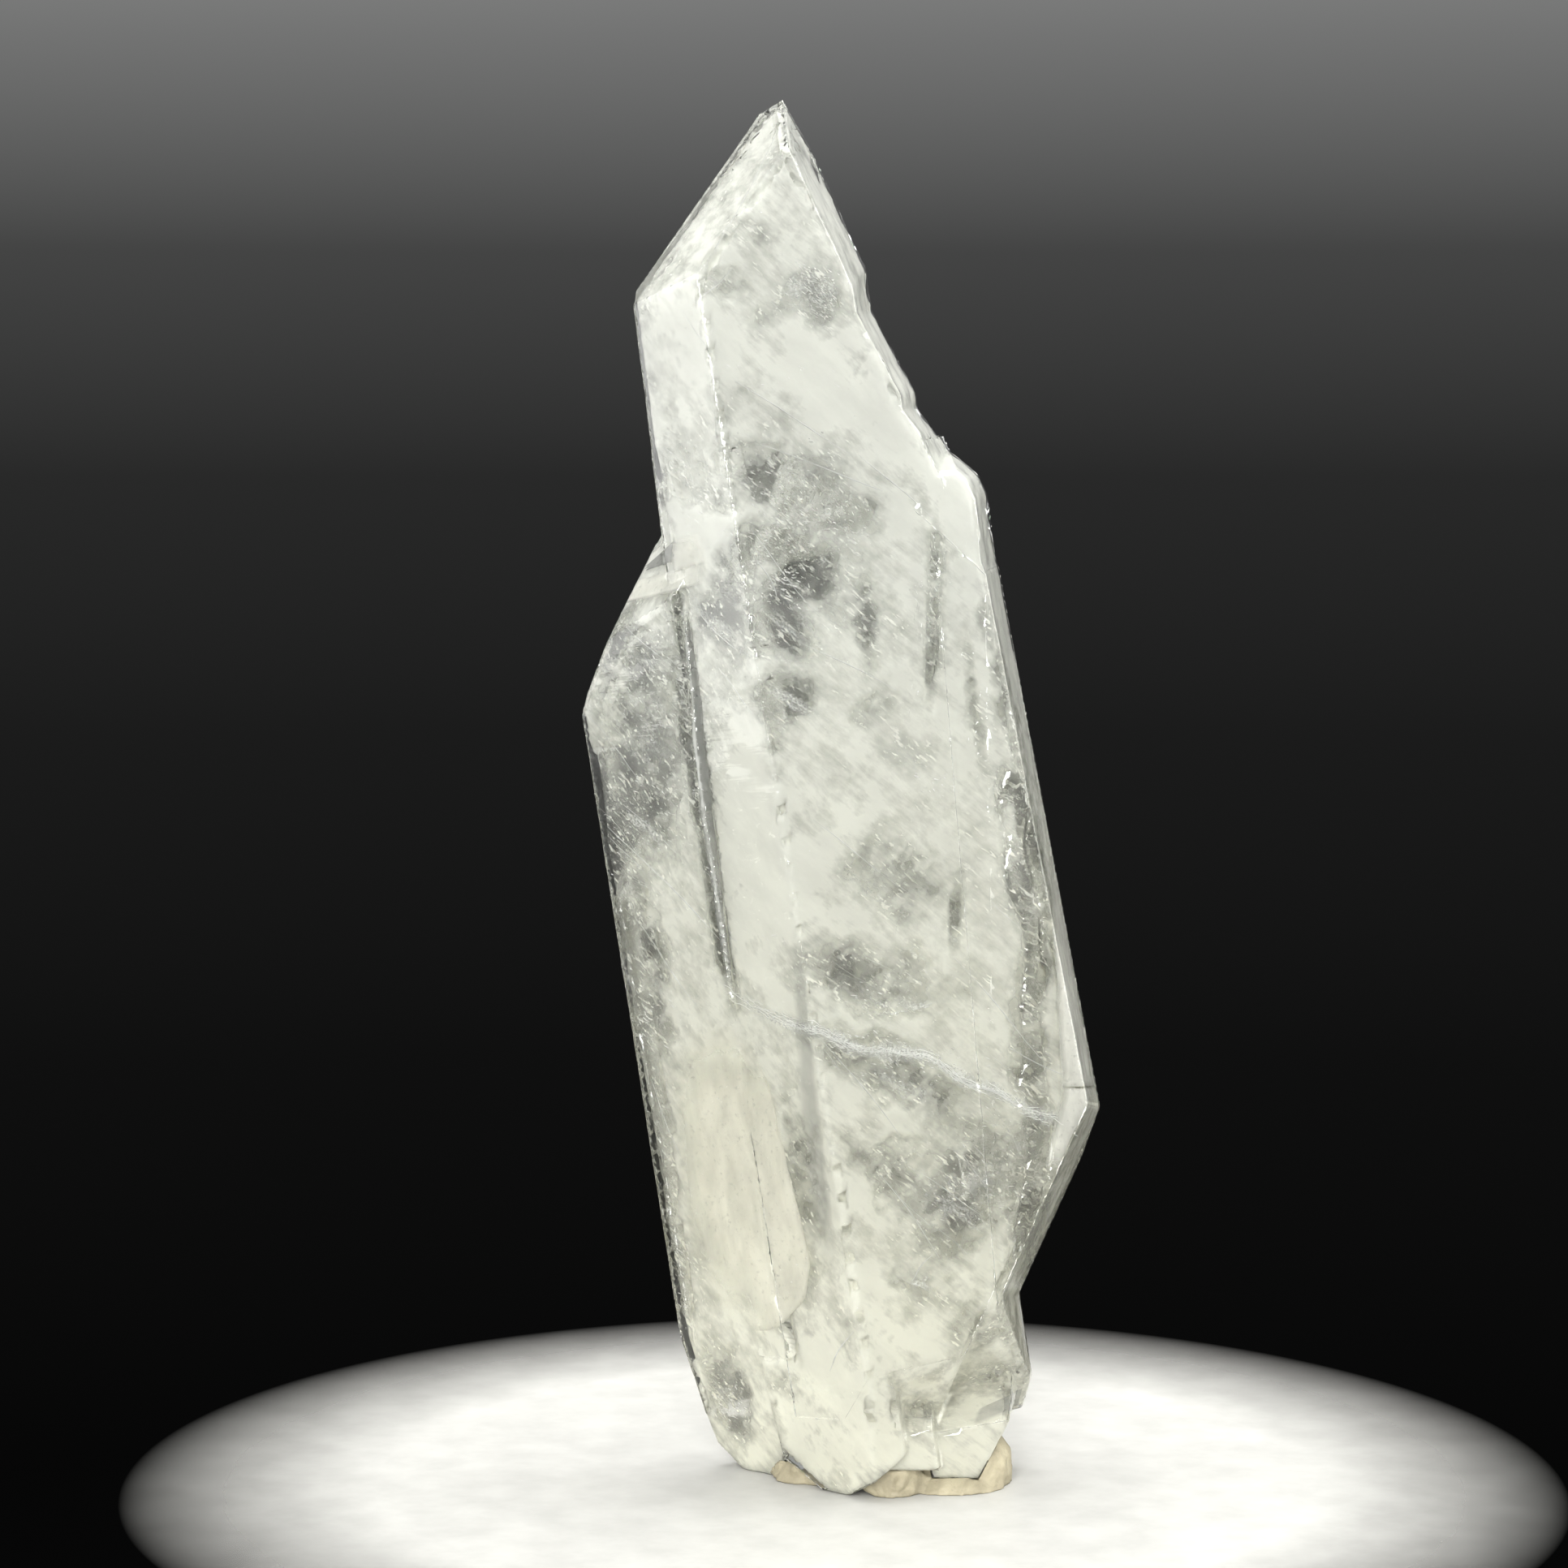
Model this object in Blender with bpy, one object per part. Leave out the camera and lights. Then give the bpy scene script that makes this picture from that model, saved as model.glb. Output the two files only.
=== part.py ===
"""Faden quartz crystal, a cluster of parallel plates grown together, standing in a pad of putty.

World frame in metres, +Z up, -Y towards the viewer, Z = 0 on the table.
Crystal coordinates in mm: u across the plate, v backwards, w along the long axis.
A face is (azimuth, tilt, point): azimuth is turned from the viewer towards +u, tilt is from +w.
"""
import math

import bpy
import bmesh
from mathutils import Matrix, Vector

OBJECT_NAME = "faden_quartz_crystal"

# Driving dimensions, in mm and degrees
MM = 0.001
LEAN_ANGLE = 8.8
SHIFT_X = -0.19
SHIFT_Y = -0.535
FACE_FRONT = 20.0
FACE_FRONT_LEFT = -40.0
FACE_LEFT = -100.0
FACE_BACK = 200.0
FACE_BACK_RIGHT = 140.0
FACE_RIGHT = 80.0
END_TILT = 52.0
PUTTY_GAP = 0.3
STOCK = 120.0

LEAN = Matrix.Rotation(math.radians(-LEAN_ANGLE), 4, "Y")


def clear_scene():
    for thing in list(bpy.data.objects):
        bpy.data.objects.remove(thing, do_unlink=True)
    for group in list(bpy.data.collections):
        bpy.data.collections.remove(group)


def new_collection(name):
    group = bpy.data.collections.new(name)
    bpy.context.scene.collection.children.link(group)
    return group


def new_material(name, colour, roughness, transmission, ior):
    material = bpy.data.materials.new(name)
    material.use_nodes = True
    shader = material.node_tree.nodes["Principled BSDF"]
    shader.inputs["Base Color"].default_value = (*colour, 1.0)
    shader.inputs["Roughness"].default_value = roughness
    shader.inputs["Transmission Weight"].default_value = transmission
    shader.inputs["IOR"].default_value = ior
    return material


def face_normal(azimuth, tilt):
    turn = math.radians(azimuth)
    lift = math.radians(tilt)
    return Vector((math.sin(turn) * math.sin(lift), -math.cos(turn) * math.sin(lift), math.cos(lift)))


def cut_by(body, faces, grow):
    """Keep what lies behind each face, and cap each cut."""
    for azimuth, tilt, point in faces:
        normal = face_normal(azimuth, tilt)
        place = (Vector(point) + normal * grow) * MM
        parts = body.verts[:] + body.edges[:] + body.faces[:]
        cut = bmesh.ops.bisect_plane(body, geom=parts, dist=1e-8, plane_co=place, plane_no=normal, clear_outer=True)
        rim = [item for item in cut["geom_cut"] if isinstance(item, bmesh.types.BMEdge)]
        if rim:
            bmesh.ops.contextual_create(body, geom=rim)


def to_object(body, name, group, material=None):
    bmesh.ops.recalc_face_normals(body, faces=body.faces)
    mesh = bpy.data.meshes.new(name)
    body.to_mesh(mesh)
    body.free()
    thing = bpy.data.objects.new(name, mesh)
    group.objects.link(thing)
    if material:
        mesh.materials.append(material)
    return thing


def block(name, faces, group, grow=0.0, material=None):
    """One flat-faced crystal: a stock cube cut down by its faces, then leaned into place."""
    body = bmesh.new()
    bmesh.ops.create_cube(body, size=STOCK * 2 * MM)
    cut_by(body, faces, grow)
    body.transform(Matrix.Translation((SHIFT_X * MM, SHIFT_Y * MM, 0.0)) @ LEAN)
    return to_object(body, name, group, material)


def lump(name, centre, radii, turn, group, detail=3):
    """A smooth flattened ball, in world mm."""
    body = bmesh.new()
    bmesh.ops.create_icosphere(body, subdivisions=detail, radius=MM)
    spot = Vector(centre) + Vector((SHIFT_X, SHIFT_Y, 0.0))
    place = Matrix.Translation(spot * MM) @ Matrix.Rotation(math.radians(turn), 4, "Z")
    body.transform(place @ Matrix.Diagonal((*radii, 1.0)))
    return to_object(body, name, group)


def box(name, low, high, group):
    body = bmesh.new()
    bmesh.ops.create_cube(body, size=MM)
    size = Vector(high) - Vector(low)
    middle = (Vector(high) + Vector(low)) / 2
    body.transform(Matrix.Translation(middle * MM) @ Matrix.Diagonal((*size, 1.0)))
    return to_object(body, name, group)


def combine(target, helper, operation):
    helper.hide_render = True
    helper.display_type = "WIRE"
    step = target.modifiers.new(helper.name, "BOOLEAN")
    step.operation = operation
    step.solver = "EXACT"
    step.object = helper


F, FL, L, B, BR, R = FACE_FRONT, FACE_FRONT_LEFT, FACE_LEFT, FACE_BACK, FACE_BACK_RIGHT, FACE_RIGHT

# Main plate, thin and tall, with the leaning tip
MAIN_PLATE = [
    (F, 90, (2.5, -6.5, 30)),
    (FL, 90, (2.5, -6.5, 30)),
    (L, 87.7, (-1.35, -3.3, 60)),
    (B, 90, (11.5, 2.0, 62)),
    (R, 89, (15.2, -1.8, 48)),
    (-51, 46.5, (8.33, -4.28, 72.94)),
    (77, 75.3, (8.33, -4.28, 72.94)),
    (-105, 52.4, (-0.83, -2.13, 66.86)),
    (160, END_TILT, (8.52, -0.56, 75.56)),
    (R, 122.2, (16.1, -1.28, 18.67)),
    (F, 128, (1.92, -6.61, 6.61)),
    (FL, 110, (1.92, -6.6, 5.6)),
    (L, 125, (-1.4, -2.0, 1.7)),
    (B, 125, (4.0, 0.0, 1.7)),
    (0, 180, (0.0, 0.0, 1.7)),
]

# Broad crystal along the right edge
RIGHT_PLATE = [
    (16, 89.5, (12.3, -2.93, 50)),
    (L, 86.4, (12.8, -3.0, 50)),
    (R, 87.7, (16.08, -1.6, 35.36)),
    (BR, 90, (16.5, 3.8, 35)),
    (B, 90, (12.0, 2.3, 30)),
    (R, 52.7, (12.84, -2.64, 51.97)),
    (72, 120, (16.75, -1.28, 18.67)),
]

# Crystal stepped forward along the left edge
LEFT_PLATE = [
    (FL, 91.5, (-1.2, -4.2, 44)),
    (F, 92.2, (-1.78, -3.71, 38.3)),
    (L, 89.4, (-7.58, 1.16, 44.42)),
    (B, 90, (-4.0, 3.9, 30)),
    (BR, 90, (2.0, 3.6, 30)),
    (-58, 50.1, (-4.59, -1.35, 48.62)),
    (-97, 52, (-3.1, 0.5, 51.7)),
    (-97, 57, (-5.0, 0.5, 48.6)),
    (-97, 63, (-7.0, 0.5, 45.6)),
    (B, 56, (-1.3, 1.3, 53.6)),
    (FL, 99, (-4.5, -1.4, 10.5)),
    (L, 101, (-7.6, 1.5, 7.0)),
    (L, 128, (-6.9, 1.0, 2.6)),
    (R, 130, (-3.4, 1.0, 0.3)),
]

SHOULDER_LUMP = [
    (F, 86, (13.8, -2.45, 52.5)),
    (L, 86, (12.6, -2.0, 53)),
    (R, 91, (16.0, 1.0, 51)),
    (R, 50, (15.2, 0.5, 54.4)),
    (R, 76, (15.6, 0.3, 53.9)),
    (30, 16, (13.5, -1.5, 54.7)),
    (B, 90, (14, 2.6, 50)),
    (260, 127, (14.1, -2.0, 50.2)),
]

# Second layer on the back, ending lower than the main plate
BACK_PLATE = [
    (F, 90, (6.0, -2.0, 30)),
    (FL, 90, (0.0, -2.0, 30)),
    (B, 90, (6.0, 4.4, 30)),
    (L, 90, (-2.6, 2.0, 30)),
    (R, 90, (13.9, 3.0, 30)),
    (B, END_TILT, (6.0, 4.0, 51)),
    (L, END_TILT, (-1.8, 3, 44)),
    (BR, 58, (12.5, 4.5, 46)),
    (R, 122.2, (13.4, 3.0, 17.0)),
    (B, 128, (4.0, 4.0, 7.0)),
    (L, 125, (-2.0, 2.0, 4.0)),
]

# Small crystal on the back near the right edge
BACK_RIB = [
    (F, 90, (10.0, 0.0, 30)),
    (B, 90, (11.5, 7.4, 30)),
    (L, 90, (8.2, 5.5, 30)),
    (R, 90, (12.6, 5.5, 30)),
    (BR, 90, (12.4, 6.2, 30)),
    (B, END_TILT, (10.5, 6.6, 37.5)),
    (L, END_TILT, (8.4, 5.5, 35.5)),
    (B, 128, (10.5, 6.6, 15.0)),
    (R, 128, (12.5, 5.5, 17.0)),
]

FOOT = [
    (F, 90, (10.3, -3.6, 9.0)),
    (F, 131, (10.1, -3.7, 8.9)),
    (R, 90, (11.42, 2.0, 5.0)),
    (BR, 90, (10.9, 3.4, 5.0)),
    (B, 90, (7.0, 2.6, 5.0)),
    (R, 114, (11.4, 1.0, 3.7)),
    (L, 90, (4.0, 0.0, 5.0)),
    (0, 0, (8.0, 0.0, 10.5)),
    (B, 125, (8.0, 3.0, 2.0)),
]

FRONT_LOBE = [
    (F, 90, (2.5, -6.47, 30)),
    (FL, 90, (2.5, -6.47, 30)),
    (F, 98, (1.92, -6.6, 5.6)),
    (FL, 98, (1.92, -6.6, 5.6)),
    (-90, 95.5, (-3.38, -3.0, 7.46)),
    (-90, 129, (-2.6, -3.7, 0.85)),
    (-90, 156, (-1.95, -3.7, 0.14)),
    (90, 150, (2.1, -3.7, 0.85)),
    (R, 90, (4.2, -3.7, 3.0)),
    (180, 125, (0.0, -3.3, 0.0)),
    (B, 90, (0.0, 0.5, 5.0)),
    (0, 0, (0.0, 0.0, 7.7)),
]

# Low bridge over the arch, between the front lobe and the right lobe
ARCH = [
    (8, 93, (3.6, -4.7, 1.6)),
    (-90, 90, (1.3, -4.0, 2.0)),
    (R, 90, (5.7, -3.5, 2.0)),
    (-90, 169, (3.0, -3.7, 1.05)),
    (4, 42, (3.6, -4.5, 3.1)),
    (180, 110, (3.5, -1.4, 1.0)),
]

RIGHT_LOBE = [
    (5, 92, (7.5, -3.0, 1.0)),
    (5, 25, (7.5, -3.0, 2.45)),
    (85, 126.5, (9.3, -3.0, 1.65)),
    (-90, 168, (6.4, -3.0, -0.4)),
    (-90, 95, (5.0, -3.0, 0.8)),
    (-90, 45, (5.2, -3.0, 2.0)),
    (R, 90, (10.3, 0.0, 3.0)),
    (B, 90, (7.0, 2.0, 1.0)),
]

# Low parallel terraces on the back
BACK_TERRACE = [
    (B, 90, (3.0, 3.75, 22.0)),
    (L, 90, (-1.6, 3.0, 22.0)),
    (BR, 90, (5.6, 4.4, 22.0)),
    (B, 56, (2.5, 3.6, 33.0)),
    (L, 58, (-1.2, 3.0, 30.0)),
    (B, 122, (2.5, 3.6, 10.0)),
    (F, 90, (3.0, 2.0, 22.0)),
]

LEFT_BACK_RIB = [
    (B, 90, (-4.4, 4.7, 20.0)),
    (FL, 90, (-5.0, 2.8, 20.0)),
    (L, 90, (-6.2, 3.0, 20.0)),
    (BR, 90, (-3.0, 4.5, 20.0)),
    (B, 54, (-4.6, 4.5, 36.0)),
    (L, 58, (-6.0, 3.5, 34.0)),
    (B, 124, (-4.6, 4.5, 9.0)),
    (F, 90, (-4.0, 2.0, 20.0)),
]

# Stepped and chipped places, taken away
TIP_STEP = [
    (260, 90, (11.55, 1.5, 64.0)),
    (260, 180 - 71.5, (12.62, 1.5, 60.45)),
    (R, 90, (20.0, 0.0, 60.0)),
    (0, 0, (12.0, 0.0, 72.0)),
    (0, 180, (12.0, 0.0, 58.3)),
]

TIP_STEP_LOW = [
    (260, 90, (13.15, 1.5, 58.0)),
    (260, 180 - 64, (13.35, 1.5, 57.6)),
    (R, 90, (20.0, 0.0, 60.0)),
    (0, 0, (12.0, 0.0, 70.0)),
    (0, 180, (12.0, 0.0, 56.3)),
]

PARTS = [
    ("right_plate", RIGHT_PLATE),
    ("left_plate", LEFT_PLATE),
    ("shoulder_lump", SHOULDER_LUMP),
    ("back_plate", BACK_PLATE),
    ("back_rib", BACK_RIB),
    ("foot", FOOT),
    ("front_lobe", FRONT_LOBE),
    ("right_lobe", RIGHT_LOBE),
    ("arch", ARCH),
    ("back_terrace", BACK_TERRACE),
    ("left_back_rib", LEFT_BACK_RIB),
]

CHIPS = [
    ("tip_step", TIP_STEP),
    ("tip_step_low", TIP_STEP_LOW),
]

# The blocks whose lower ends the putty is pressed around
FOOT_PARTS = [
    ("main_plate", MAIN_PLATE),
    ("left_plate", LEFT_PLATE),
    ("back_plate", BACK_PLATE),
    ("foot", FOOT),
    ("front_lobe", FRONT_LOBE),
    ("right_lobe", RIGHT_LOBE),
    ("arch", ARCH),
]

# Lumps pressed onto the pad: centre, radii in mm, and turn in degrees
PUTTY_LUMPS = [
    ("right_lump", (7.0, 0.6, 0.6), (2.5, 3.8, 3.5), 20.0),
    ("back_lump", (5.0, 3.6, 0.4), (4.4, 2.3, 3.6), -10.0),
    ("left_wedge", (-2.6, 0.0, 0.1), (2.0, 1.5, 1.9), -60.0),
    ("front_curl", (2.9, -3.3, 0.3), (1.7, 1.4, 1.3), 15.0),
    ("front_rim", (6.3, -2.3, 0.0), (2.9, 1.9, 0.9), 8.0),
]


def make_putty(shown, helpers, material):
    """A thumbed pad under the arch of the foot, rising behind it, with a pocket for the crystal."""
    putty = lump("mounting_putty", (2.9, 1.2, 0.2), (6.6, 4.4, 2.2), 4.0, shown)
    putty.data.materials.append(material)
    for name, centre, radii, turn in PUTTY_LUMPS:
        combine(putty, lump(name, centre, radii, turn, helpers), "UNION")
    for name, faces in FOOT_PARTS:
        combine(putty, block("pocket_" + name, faces, helpers, grow=PUTTY_GAP), "DIFFERENCE")
    combine(putty, box("putty_table_cut", (-60, -60, -40), (60, 60, 0), helpers), "DIFFERENCE")


def build():
    clear_scene()
    shown = new_collection(OBJECT_NAME)
    helpers = new_collection("helpers")
    quartz = new_material("clear_quartz", (0.93, 0.95, 0.93), 0.06, 0.9, 1.544)
    tan_putty = new_material("tan_putty", (0.42, 0.36, 0.24), 0.7, 0.0, 1.45)
    crystal = block("quartz_crystal", MAIN_PLATE, shown, material=quartz)
    for name, faces in PARTS:
        combine(crystal, block(name, faces, helpers), "UNION")
    for name, faces in CHIPS:
        combine(crystal, block(name, faces, helpers), "DIFFERENCE")
    combine(crystal, box("crystal_table_cut", (-60, -60, -40), (60, 60, 0), helpers), "DIFFERENCE")
    make_putty(shown, helpers, tan_putty)


build()
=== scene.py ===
"""Faden quartz crystal: clear shell, milky growth inside, veils, a white thread, and a putty foot."""
import math
import random

import bmesh
import bpy
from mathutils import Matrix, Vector, noise
from mathutils.bvhtree import BVHTree
from mathutils.kdtree import KDTree

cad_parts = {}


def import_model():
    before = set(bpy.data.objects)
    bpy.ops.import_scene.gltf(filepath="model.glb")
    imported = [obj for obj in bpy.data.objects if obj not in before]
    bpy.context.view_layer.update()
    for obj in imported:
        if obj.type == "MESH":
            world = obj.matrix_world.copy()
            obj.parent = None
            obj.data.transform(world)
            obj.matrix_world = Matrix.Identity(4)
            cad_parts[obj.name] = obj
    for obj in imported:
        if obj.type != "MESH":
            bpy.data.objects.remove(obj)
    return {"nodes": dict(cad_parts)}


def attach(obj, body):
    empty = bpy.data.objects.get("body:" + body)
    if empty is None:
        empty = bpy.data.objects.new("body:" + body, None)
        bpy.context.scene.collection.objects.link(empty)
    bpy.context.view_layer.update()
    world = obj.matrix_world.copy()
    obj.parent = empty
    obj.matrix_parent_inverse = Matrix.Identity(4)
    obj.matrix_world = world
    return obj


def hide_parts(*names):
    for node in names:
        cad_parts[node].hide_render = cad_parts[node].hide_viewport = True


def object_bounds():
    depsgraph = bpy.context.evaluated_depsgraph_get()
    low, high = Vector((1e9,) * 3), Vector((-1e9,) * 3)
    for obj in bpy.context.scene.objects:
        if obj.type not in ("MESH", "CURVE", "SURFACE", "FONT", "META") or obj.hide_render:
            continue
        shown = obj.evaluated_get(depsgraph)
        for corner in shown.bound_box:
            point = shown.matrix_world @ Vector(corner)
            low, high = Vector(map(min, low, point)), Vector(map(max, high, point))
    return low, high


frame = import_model()
CAD_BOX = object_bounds()

MM = 0.001
QUARTZ_IOR = 1.544
LEAN = math.radians(8.8)
SHIFT = Vector((-0.19, -0.535, 0.0))
U_AXIS = Vector((math.cos(LEAN), 0.0, math.sin(LEAN)))
V_AXIS = Vector((0.0, 1.0, 0.0))
W_AXIS = Vector((-math.sin(LEAN), 0.0, math.cos(LEAN)))

# The photograph's camera, in mm and pixels
PHOTO_SIDE = 1932.0
FOCAL = 4900.0
VIEW_DISTANCE = 215.0
PIXEL_MM = VIEW_DISTANCE / FOCAL
PITCH = math.radians(5.0)
EYE = Vector((-3.1, -217.7, 57.8)) + SHIFT


def clamp(value):
    return max(0.0, min(1.0, value))


def waves(x, y, z):
    return noise.noise(Vector((x, y, z)))


def from_crystal(u, v, w):
    """Crystal coordinates in mm to the world in metres."""
    return (U_AXIS * u + V_AXIS * v + W_AXIS * w + SHIFT) * MM


def to_crystal(place):
    rel = place / MM - SHIFT
    return Vector((rel.dot(U_AXIS), rel.dot(V_AXIS), rel.dot(W_AXIS)))


def new_object(body, name, smooth=True):
    mesh = bpy.data.meshes.new(name)
    body.to_mesh(mesh)
    body.free()
    thing = bpy.data.objects.new(name, mesh)
    bpy.context.scene.collection.objects.link(thing)
    if smooth:
        mesh.shade_smooth()
    return thing


def read_node(name):
    body = bmesh.new()
    body.from_mesh(frame["nodes"][name].data)
    bmesh.ops.remove_doubles(body, verts=body.verts, dist=2e-6)
    return body


class Nodes:
    """A short way to write a node tree."""

    def __init__(self, name):
        self.material = bpy.data.materials.new(name)
        self.material.use_nodes = True
        self.tree = self.material.node_tree
        self.shader = self.tree.nodes["Principled BSDF"]
        self.output = self.tree.nodes["Material Output"]

    def add(self, kind, **values):
        node = self.tree.nodes.new(kind)
        for key, value in values.items():
            setattr(node, key, value)
        return node

    def set(self, socket, value):
        if isinstance(value, bpy.types.NodeSocket):
            self.tree.links.new(value, socket)
        else:
            socket.default_value = value

    def give(self, name, value):
        self.set(self.shader.inputs[name], value)

    def place(self, turn=(0.0, 0.0, 0.0), scale=(1.0, 1.0, 1.0)):
        where = self.add("ShaderNodeTexCoord")
        turned = self.add("ShaderNodeMapping")
        turned.inputs["Rotation"].default_value = turn
        self.tree.links.new(where.outputs["Object"], turned.inputs["Vector"])
        scaled = self.add("ShaderNodeMapping")
        scaled.inputs["Scale"].default_value = scale
        self.tree.links.new(turned.outputs["Vector"], scaled.inputs["Vector"])
        return scaled.outputs["Vector"]

    def noise(self, where, scale, detail=4.0, rough=0.55, twist=0.0):
        node = self.add("ShaderNodeTexNoise")
        self.set(node.inputs["Vector"], where)
        node.inputs["Scale"].default_value = scale
        node.inputs["Detail"].default_value = detail
        node.inputs["Roughness"].default_value = rough
        node.inputs["Distortion"].default_value = twist
        return node.outputs["Fac"]

    def range(self, value, low, high, to_low=0.0, to_high=1.0):
        node = self.add("ShaderNodeMapRange")
        self.set(node.inputs["Value"], value)
        node.inputs["From Min"].default_value = low
        node.inputs["From Max"].default_value = high
        node.inputs["To Min"].default_value = to_low
        node.inputs["To Max"].default_value = to_high
        return node.outputs["Result"]

    def math(self, kind, a, b=0.0, clamp=False):
        node = self.add("ShaderNodeMath", operation=kind, use_clamp=clamp)
        self.set(node.inputs[0], a)
        self.set(node.inputs[1], b)
        return node.outputs[0]

    def mix(self, factor, a, b):
        node = self.add("ShaderNodeMix", data_type="RGBA")
        self.set(node.inputs[0], factor)
        self.set(node.inputs[6], a)
        self.set(node.inputs[7], b)
        return node.outputs[2]

    def attribute(self, name):
        return self.add("ShaderNodeAttribute", attribute_name=name).outputs["Fac"]

    def bump(self, height, distance, strength=1.0):
        node = self.add("ShaderNodeBump")
        node.inputs["Strength"].default_value = strength
        node.inputs["Distance"].default_value = distance
        self.set(node.inputs["Height"], height)
        self.set(self.shader.inputs["Normal"], node.outputs["Normal"])


LEAN_TURN = (0.0, LEAN, 0.0)


def clear_quartz():
    """Clear quartz: plain transmission, its real refraction and a faint grey-green depth."""
    n = Nodes("clear_quartz")
    n.give("Base Color", (1.0, 1.0, 1.0, 1.0))
    n.give("Transmission Weight", 1.0)
    n.give("IOR", QUARTZ_IOR)
    across = n.place(LEAN_TURN, (1.0, 1.0, 1.0))
    striae = n.place(LEAN_TURN, (120.0, 120.0, 2400.0))
    hills = n.noise(across, 320.0, 3.0, 0.5)
    lines = n.noise(striae, 1.0, 2.0, 0.5)
    pits = n.noise(across, 2400.0, 2.0, 0.6)
    low = n.math("MULTIPLY", n.range(lines, 0.35, 0.65), 0.05)
    top = n.math("MULTIPLY", n.range(pits, 0.66, 0.8), -0.5)
    n.bump(n.math("ADD", n.math("ADD", hills, low), top), 0.00006, 0.55)
    n.give("Roughness", n.range(n.noise(across, 600.0, 4.0, 0.65), 0.42, 0.72, 0.015, 0.16))
    depth = n.add("ShaderNodeVolumeAbsorption")
    depth.inputs["Color"].default_value = (0.9, 0.94, 0.9, 1.0)
    depth.inputs["Density"].default_value = 12.0
    n.tree.links.new(depth.outputs[0], n.output.inputs["Volume"])
    return n.material


SLANT_TURN = (0.0, math.radians(-38.0), 0.0)


def milk(name, colour, foot_shade_colour, contrast, solid, grain=1.0):
    """White growth inside the clear quartz: the piece's own haze values say where it is clear or solid."""
    n = Nodes(name)
    n.give("Roughness", 0.9)
    n.give("Specular IOR Level", 0.1)
    cloud = n.noise(n.place(), 260.0 * grain, 5.0, 0.6)
    streak = n.noise(n.place(SLANT_TURN, (0.16, 1.0, 1.0)), 900.0 * grain, 5.0, 0.68, 0.2)
    both = n.math("ADD", n.math("MULTIPLY", cloud, 0.5), n.math("MULTIPLY", streak, 0.5))
    wave = n.range(both, 0.38, 0.62, -contrast, contrast)
    thick = n.math("ADD", n.attribute("haze"), wave)
    clear = n.range(thick, -1.0, 0.0, 0.05, 0.2)
    body = n.range(thick, 0.0, 0.9, 0.0, solid - 0.2)
    dash = n.noise(n.place(SLANT_TURN, (0.12, 1.0, 1.0)), 4600.0 * grain, 2.0, 0.55, 0.1)
    dots = n.noise(n.place(), 7000.0 * grain, 1.0, 0.5)
    gather = n.noise(n.place(), 640.0, 4.0, 0.65)
    marks = n.math("MAXIMUM", n.range(dash, 0.59, 0.66, 0.0, 0.8), n.range(dots, 0.7, 0.76, 0.0, 0.5))
    glint = n.math("MULTIPLY", marks, n.range(gather, 0.44, 0.56))
    glint = n.math("MULTIPLY", glint, n.range(thick, 0.25, 0.7, 1.0, 0.0))
    n.give("Alpha", n.math("ADD", n.math("ADD", clear, body), glint, clamp=True))
    # Painted shade: by height, the milk's colour turns darker and yellower toward the foot.
    height = n.add("ShaderNodeSeparateXYZ")
    n.set(height.inputs[0], n.add("ShaderNodeTexCoord").outputs["Object"])
    pale = n.mix(n.range(height.outputs["Z"], 0.004, 0.05), (*foot_shade_colour, 1.0), (*colour, 1.0))
    broad = n.noise(n.place(SLANT_TURN, (0.24, 1.0, 1.0)), 420.0 * grain, 4.0, 0.62, 0.6)
    shade = n.add("ShaderNodeVectorMath", operation="SCALE")
    n.set(shade.inputs[0], pale)
    drift = n.math("ADD", n.math("MULTIPLY", broad, 0.6), n.math("MULTIPLY", streak, 0.4))
    n.set(shade.inputs["Scale"], n.range(drift, 0.4, 0.58, 0.88, 1.0))
    n.give("Base Color", shade.outputs[0])
    return n.material


def plate_material(name, colour):
    """A smooth flat sheet just under the skin, mottled, as thick as its haze values say. In cream it is a
    growth; in dark grey it is painted shade.
    """
    n = Nodes(name)
    n.give("Roughness", 0.85)
    n.give("Specular IOR Level", 0.15)
    mottled = n.noise(n.place(LEAN_TURN, (1.0, 1.0, 0.4)), 700.0, 5.0, 0.6, 0.3)
    pits = n.noise(n.place(), 3200.0, 3.0, 0.65)
    dark = tuple(0.92 * c for c in colour) + (1.0,)
    n.give("Base Color", n.mix(n.range(mottled, 0.34, 0.64), dark, (*colour, 1.0)))
    thick = n.math("MULTIPLY", n.range(mottled, 0.3, 0.62, 0.72, 1.0), n.range(pits, 0.25, 0.42, 0.6, 1.0))
    n.give("Alpha", n.math("MULTIPLY", thick, n.attribute("haze"), clamp=True))
    return n.material


def veil_material(name, colour, scale, low, high, stretch):
    """A healed crack: a film of tiny bubbles, patchy and streaked."""
    n = Nodes(name)
    n.give("Roughness", 0.55)
    n.give("Base Color", (*colour, 1.0))
    n.give("Specular IOR Level", 0.5)
    film = n.noise(n.place(SLANT_TURN, (stretch, 1.0, 1.0)), scale, 6.0, 0.7, 0.8)
    dots = n.noise(n.place(), scale * 9.0, 2.0, 0.6)
    patch = n.math("MULTIPLY", n.range(film, low, high), n.range(dots, 0.4, 0.6, 0.3, 1.0))
    n.give("Alpha", n.math("MULTIPLY", patch, n.attribute("haze"), clamp=True))
    return n.material


def bright_material(name, colour, rough, alpha=1.0):
    n = Nodes(name)
    n.give("Roughness", rough)
    mottled = n.noise(n.place(), 1500.0, 4.0, 0.6)
    dark = tuple(0.86 * c for c in colour) + (1.0,)
    n.give("Base Color", n.mix(n.range(mottled, 0.35, 0.65), dark, tuple(colour) + (1.0,)))
    if alpha < 1.0:
        n.give("Alpha", n.range(mottled, 0.3, 0.7, alpha * 0.6, alpha))
    return n.material


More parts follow.
